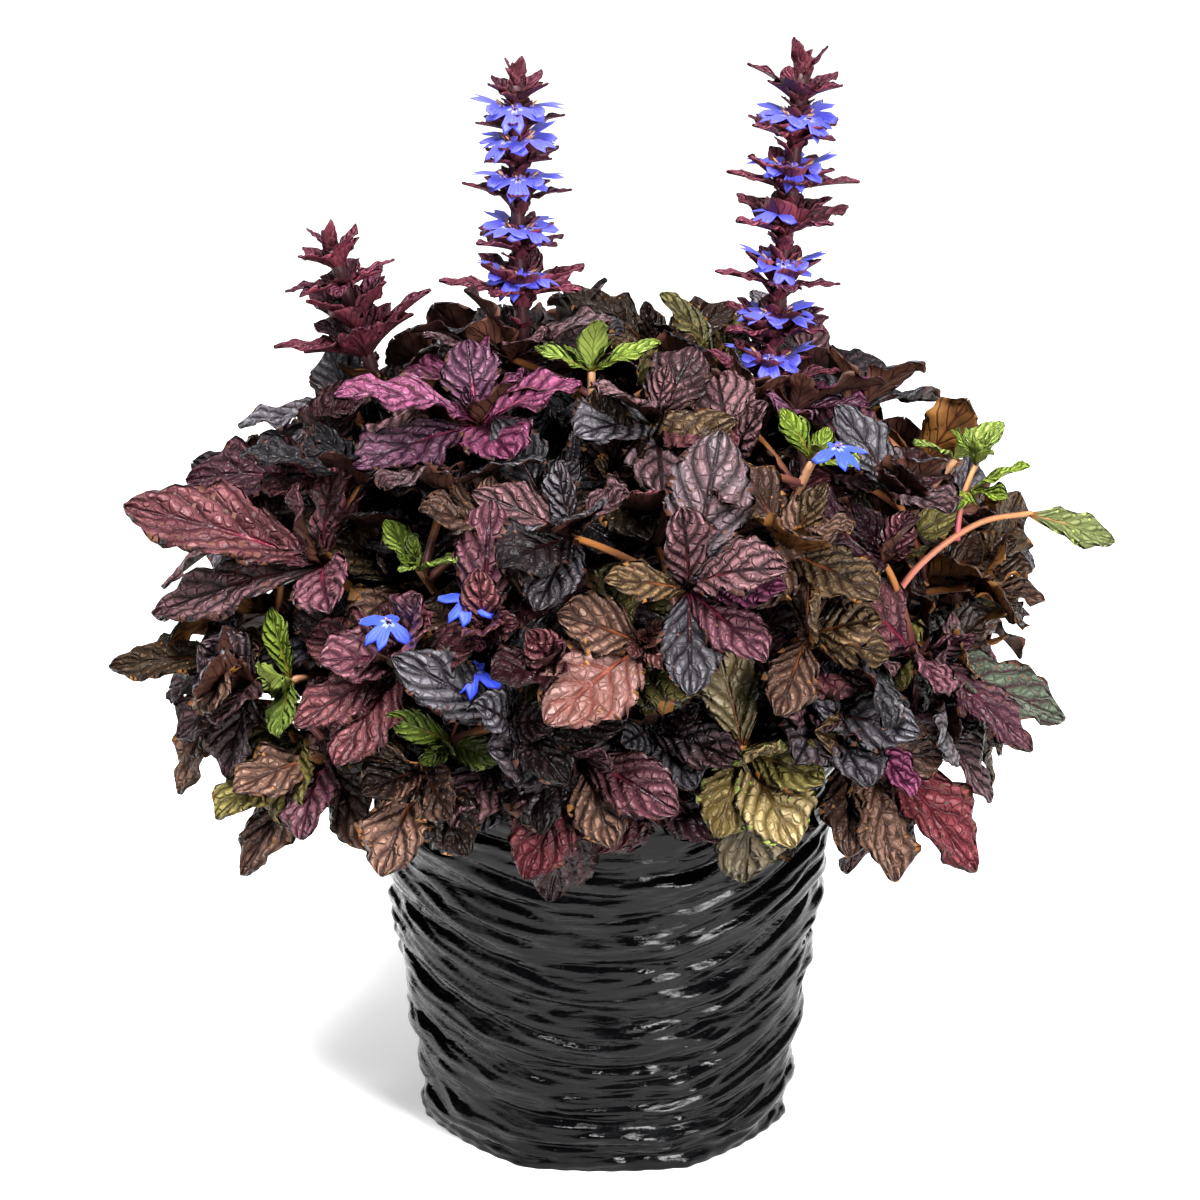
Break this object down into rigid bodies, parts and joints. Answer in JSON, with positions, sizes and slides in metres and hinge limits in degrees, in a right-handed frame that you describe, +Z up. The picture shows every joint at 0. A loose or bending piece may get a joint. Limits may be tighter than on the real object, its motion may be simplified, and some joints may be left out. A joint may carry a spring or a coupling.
{
  "type": "potted bugleweed plant",
  "caption": "Potted bugleweed: dense mound of crinkled dark leaves with upright blue-violet flower spikes, in a round pot wrapped in wrinkled black film.",
  "frame": {"origin": "centre of the flat base of the wrapped pot", "axes": "+Z up along the pot's axis, -Y the front that the picture shows, +X to the viewer's right"},
  "size_m": [0.337, 0.2873, 0.3796],
  "materials": {
    "film": "glossy, wrinkled",
    "pot": "matte",
    "soil": "rough, crumbly",
    "leaf_dark": "crinkled, slightly waxy",
    "leaf_bronze": "crinkled, slightly waxy",
    "leaf_burgundy": "crinkled, slightly waxy",
    "leaf_copper": "crinkled, slightly waxy",
    "leaf_magenta": "crinkled, slightly waxy",
    "leaf_gold": "crinkled, slightly waxy",
    "leaf_green": "soft, fresh",
    "spike": "soft, slightly hairy"
  },
  "bodies": {
    "root": {"bronze_leafy_stem_01": "leaf_bronze", "bronze_leafy_stem_02": "leaf_bronze", "bronze_leafy_stem_07": "leaf_bronze", "bronze_leafy_stem_09": "leaf_bronze", "bronze_leafy_stem_13": "leaf_bronze", "bronze_leafy_stem_front_right": "leaf_bronze", "bronze_leafy_stem_low_left": "leaf_bronze", "bronze_leafy_stem_right": "leaf_bronze", "burgundy_leafy_stem_05": "leaf_burgundy", "burgundy_leafy_stem_low_front": "leaf_burgundy", "copper_leafy_stem_front": "leaf_copper", "dark_leafy_stem_03": "leaf_dark", "dark_leafy_stem_04": "leaf_dark", "dark_leafy_stem_06": "leaf_dark", "dark_leafy_stem_08": "leaf_dark", "dark_leafy_stem_10": "leaf_dark", "dark_leafy_stem_11": "leaf_dark", "dark_leafy_stem_12": "leaf_dark", "dark_leafy_stem_14": "leaf_dark", "dark_leafy_stem_15": "leaf_dark", "dark_leafy_stem_16": "leaf_dark", "dark_leafy_stem_far_left": "leaf_bronze", "dark_leafy_stem_front": "leaf_dark", "dark_leafy_stem_top": "leaf_dark", "dark_leafy_stem_top_left": "leaf_dark", "dusky_leafy_stem_left": "leaf_burgundy", "film_wrap": "film", "flower_spike_left": "spike", "flower_spike_middle": "spike", "flower_spike_right": "spike", "gold_leafy_stem_low_front": "leaf_gold", "green_shoot_far_right": "leaf_green", "green_shoot_left": "leaf_green", "green_shoot_low_front": "leaf_green", "green_shoot_low_left": "leaf_green", "green_shoot_right": "leaf_green", "green_shoot_top": "leaf_green", "magenta_leafy_stem_top": "leaf_magenta", "nursery_pot": "pot", "potting_soil": "soil", "purple_leafy_stem_right": "leaf_burgundy", "red_leafy_stem_low_right": "leaf_burgundy", "runner_right": "leaf_green"}
  },
  "joints": []
}
